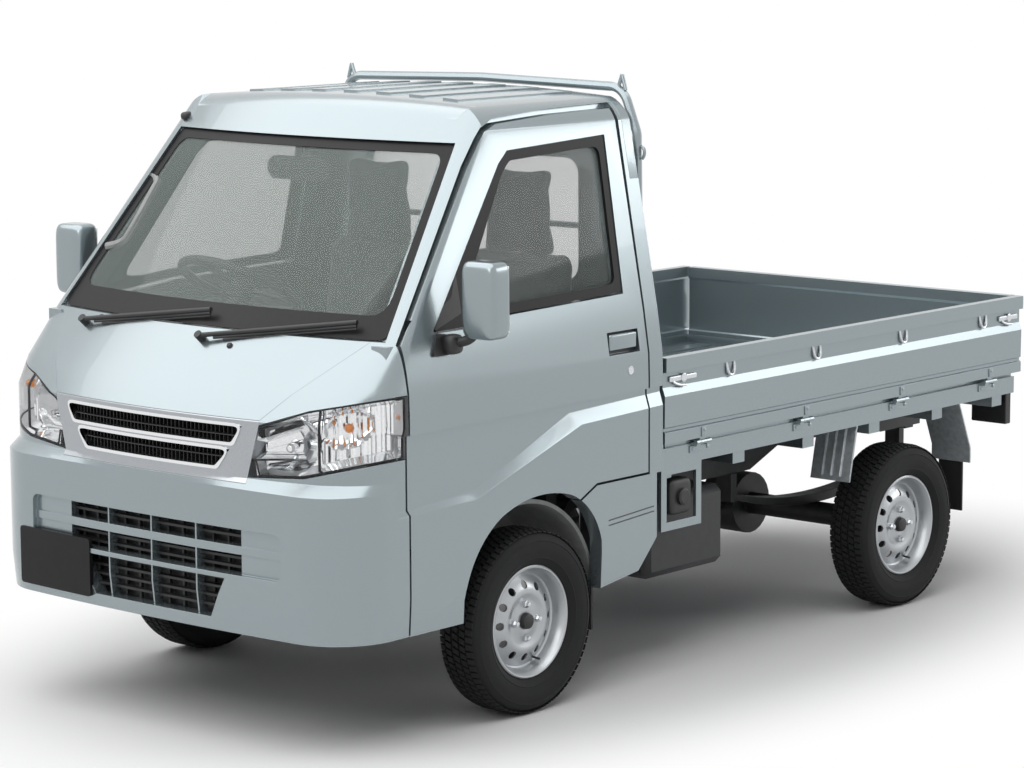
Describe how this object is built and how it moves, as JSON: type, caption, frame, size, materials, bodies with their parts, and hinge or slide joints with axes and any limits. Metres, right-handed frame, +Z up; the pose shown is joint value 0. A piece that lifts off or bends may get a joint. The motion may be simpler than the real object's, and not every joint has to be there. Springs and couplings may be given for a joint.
{
  "type": "kei truck",
  "caption": "Small cab-over pickup truck with two hinged doors, steered front wheels, a flat load bed with three drop gates and a guard frame behind the cab.",
  "frame": {"origin": "on the ground, under the middle of the vehicle's length and width", "axes": "+Z up, +Y to the vehicle's rear, +X to its left"},
  "size_m": [1.792, 3.395, 1.8132],
  "materials": {
    "body_paint": "silver metallic lacquer",
    "chassis_paint": "satin black",
    "bed_paint": "silver metallic lacquer",
    "glass": "clear, light green",
    "black_plastic": "grained",
    "grey_plastic": "grained",
    "lamp_glass": "clear lens",
    "grille_trim": "bright and black",
    "seat_cloth": "woven",
    "wheel_steel": "silver",
    "tyre_rubber": "rubber",
    "flap_rubber": "matte",
    "cast_metal": "as cast",
    "exhaust_steel": "dull",
    "lamp_red": "red lens"
  },
  "bodies": {
    "body": {"chassis_frame": "chassis_paint", "cab_floor": "grey_plastic", "cab_side_left": "body_paint", "cab_side_right": "body_paint", "nose_panel": "body_paint", "roof_panel": "body_paint", "rear_panel": "body_paint", "windscreen": "glass", "rear_window": "glass", "front_bumper": "body_paint", "grille": "grille_trim", "headlamps": "lamp_glass", "wipers": "black_plastic", "dashboard": "grey_plastic", "steering_column": "black_plastic", "seat_left": "seat_cloth", "seat_right": "seat_cloth", "room_mirror": "black_plastic", "bed_floor": "bed_paint", "guard_frame": "bed_paint", "rear_axle": "chassis_paint", "rear_springs": "chassis_paint", "front_suspension": "chassis_paint", "engine_block": "cast_metal", "propeller_shaft": "chassis_paint", "fuel_tank": "chassis_paint", "exhaust": "exhaust_steel", "rear_fenders": "bed_paint", "mudflaps": "flap_rubber", "tail_lamps": "lamp_red"},
    "steering_wheel": {"steering_wheel": "black_plastic"},
    "steering_rack": {"steering_rack": "chassis_paint"},
    "tailgate": {"tailgate": "bed_paint"},
    "knuckle_left": {"knuckle_left": "cast_metal"},
    "front_wheel_left": {"rim_front_left": "wheel_steel", "tyre_front_left": "tyre_rubber"},
    "rear_wheel_left": {"rim_rear_left": "wheel_steel", "tyre_rear_left": "tyre_rubber"},
    "door_left": {"door_left": "body_paint", "door_glass_left": "glass", "mirror_left": "body_paint"},
    "side_gate_left": {"side_gate_left": "bed_paint"},
    "knuckle_right": {"knuckle_right": "cast_metal"},
    "front_wheel_right": {"rim_front_right": "wheel_steel", "tyre_front_right": "tyre_rubber"},
    "rear_wheel_right": {"rim_rear_right": "wheel_steel", "tyre_rear_right": "tyre_rubber"},
    "door_right": {"door_right": "body_paint", "door_glass_right": "glass", "mirror_right": "body_paint"},
    "side_gate_right": {"side_gate_right": "bed_paint"}
  },
  "joints": [
    {"name": "steering", "type": "hinge", "parent": "body", "child": "steering_wheel", "pos_m": [-0.33, -1, 1.18], "axis": [0, 0.5, 0.866], "range_deg": [-560, 560]},
    {"name": "rack_slide", "type": "slide", "parent": "body", "child": "steering_rack", "axis": [1, 0, 0], "range_m": [-0.0491, 0.0491]},
    {"name": "steer_left", "type": "hinge", "parent": "body", "child": "knuckle_left", "pos_m": [0.632, -0.863, 0.27], "axis": [0, 0, 1], "range_deg": [-33.1, 33.1]},
    {"name": "front_spin_left", "type": "hinge", "parent": "knuckle_left", "child": "front_wheel_left", "pos_m": [0.65, -0.863, 0.27], "axis": [1, 0, 0], "continuous": true},
    {"name": "rear_spin_left", "type": "hinge", "parent": "body", "child": "rear_wheel_left", "pos_m": [0.65, 1.037, 0.27], "axis": [1, 0, 0], "continuous": true},
    {"name": "door_left", "type": "hinge", "parent": "body", "child": "door_left", "pos_m": [0.726, -1.358, 0.75], "axis": [0, 0, -1], "range_deg": [0, 66]},
    {"name": "side_gate_left", "type": "hinge", "parent": "body", "child": "side_gate_left", "pos_m": [0.729, 0.7, 0.7], "axis": [0, 1, 0], "range_deg": [0, 160]},
    {"name": "steer_right", "type": "hinge", "parent": "body", "child": "knuckle_right", "pos_m": [-0.632, -0.863, 0.27], "axis": [0, 0, 1], "range_deg": [-33.1, 33.1]},
    {"name": "front_spin_right", "type": "hinge", "parent": "knuckle_right", "child": "front_wheel_right", "pos_m": [-0.65, -0.863, 0.27], "axis": [1, 0, 0], "continuous": true},
    {"name": "rear_spin_right", "type": "hinge", "parent": "body", "child": "rear_wheel_right", "pos_m": [-0.65, 1.037, 0.27], "axis": [1, 0, 0], "continuous": true},
    {"name": "door_right", "type": "hinge", "parent": "body", "child": "door_right", "pos_m": [-0.726, -1.358, 0.75], "axis": [0, 0, 1], "range_deg": [0, 66]},
    {"name": "side_gate_right", "type": "hinge", "parent": "body", "child": "side_gate_right", "pos_m": [-0.729, 0.7, 0.7], "axis": [0, -1, 0], "range_deg": [0, 160]},
    {"name": "tailgate", "type": "hinge", "parent": "body", "child": "tailgate", "pos_m": [0, 1.689, 0.7], "axis": [-1, 0, 0], "range_deg": [0, 90]}
  ],
  "couplings": [
    {"joint": "rack_slide", "follows": "steering", "m_per_rad": -0.0050152},
    {"joint": "steer_left", "follows": "steering", "ratio": 0.058929},
    {"joint": "steer_right", "follows": "steering", "ratio": 0.058929}
  ]
}
